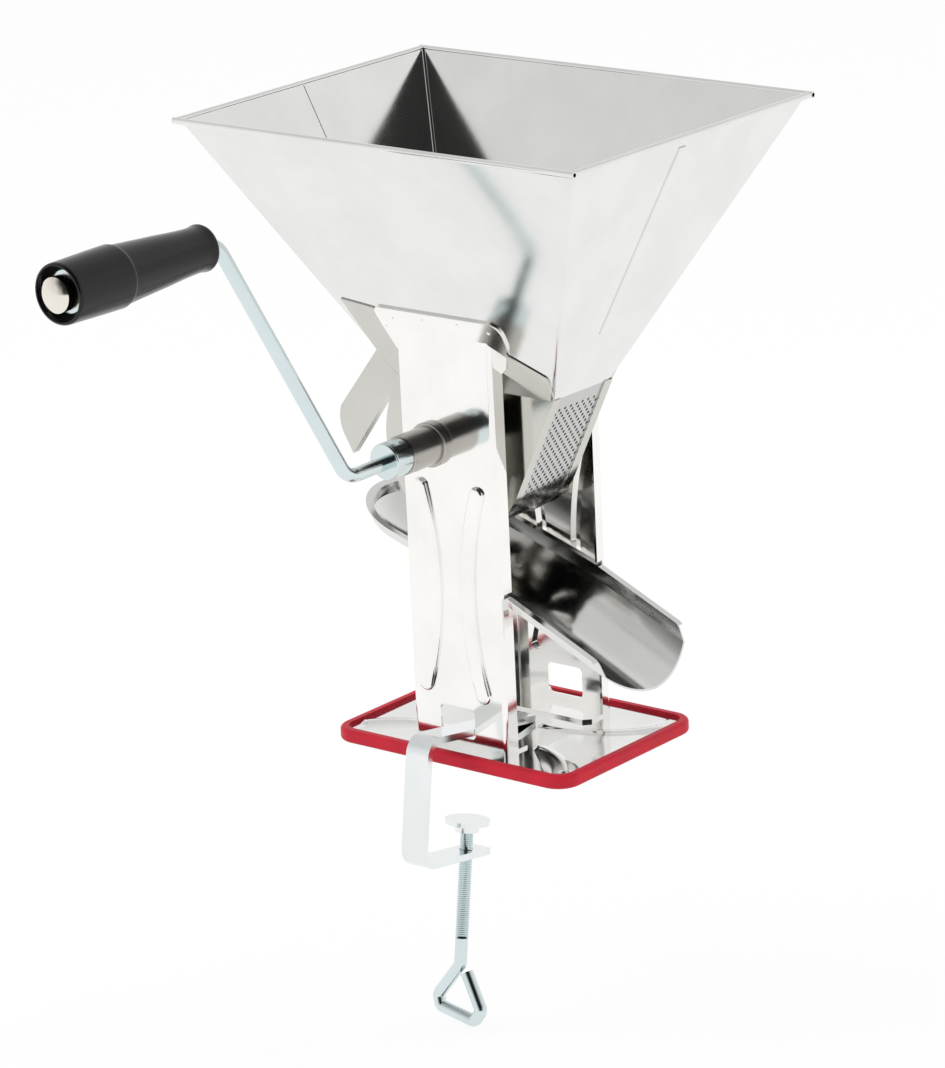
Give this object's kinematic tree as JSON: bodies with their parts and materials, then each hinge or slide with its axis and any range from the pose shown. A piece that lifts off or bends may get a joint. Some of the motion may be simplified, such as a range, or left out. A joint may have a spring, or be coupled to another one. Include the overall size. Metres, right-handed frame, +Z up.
{
  "type": "tomato strainer with crank",
  "caption": "Hand cranked tomato strainer: flared hopper over a paddle chamber with a perforated screen, juice chute, sheet legs on a rubber edged base, and a table clamp.",
  "frame": {"origin": "centre of the base's underside, on the worktop", "axes": "+X along the base's long side, the way the chute pours; +Y away from the crank; +Z up"},
  "size_m": [0.28, 0.4203, 0.5263],
  "materials": {
    "polished_sheet": "mirror polished stainless sheet",
    "satin_steel": "satin",
    "zinc": "bright bluish zinc plating",
    "rotor_plastic": "plain",
    "red_rubber": "matt",
    "black_plastic": "gloss",
    "nickel": "bright"
  },
  "bodies": {
    "root": {"hopper_front_shell": "polished_sheet", "hopper_rear_shell": "polished_sheet", "chamber_cheek_front": "polished_sheet", "chamber_cheek_rear": "polished_sheet", "screen": "polished_sheet", "leg_front": "polished_sheet", "leg_rear": "polished_sheet", "base_plate": "polished_sheet", "chute": "polished_sheet", "bush_front": "satin_steel", "bush_rear": "satin_steel", "bush_ring_front": "satin_steel", "bush_ring_rear": "satin_steel", "base_gasket": "red_rubber"},
    "crank": {"rotor_shaft": "zinc", "rotor_hub": "rotor_plastic", "paddle_1": "rotor_plastic", "paddle_2": "rotor_plastic", "paddle_3": "rotor_plastic", "paddle_4": "rotor_plastic", "crank_collar": "zinc", "crank_rod": "zinc", "grip_washer": "zinc", "grip_cap": "nickel"},
    "grip": {"grip": "black_plastic"},
    "clamp": {"clamp_bar": "zinc"},
    "pad": {"clamp_pad": "zinc"},
    "screw": {"clamp_screw": "zinc"}
  },
  "joints": [
    {"name": "crank_spin", "type": "hinge", "parent": "root", "child": "crank", "pos_m": [-0.0135, 0, 0.1836], "axis": [0, 1, 0], "continuous": true},
    {"name": "grip_spin", "type": "hinge", "parent": "crank", "child": "grip", "pos_m": [-0.0434, 0, 0.32548], "axis": [0, 1, 0], "continuous": true},
    {"name": "clamp_slide", "type": "slide", "parent": "root", "child": "clamp", "axis": [0, -0.989, 0.1478], "range_m": [0, 0.04]},
    {"name": "pad_feed", "type": "slide", "parent": "clamp", "child": "pad", "axis": [0, 0.1478, 0.989], "range_m": [-0.009, 0.03]},
    {"name": "screw_turn", "type": "hinge", "parent": "pad", "child": "screw", "pos_m": [0, -0.05625, -0.10647], "axis": [0, 0.1478, 0.989], "range_deg": [-2700, 8700]}
  ],
  "couplings": [
    {"joint": "screw_turn", "follows": "pad_feed", "rad_per_m": 5026.5}
  ]
}
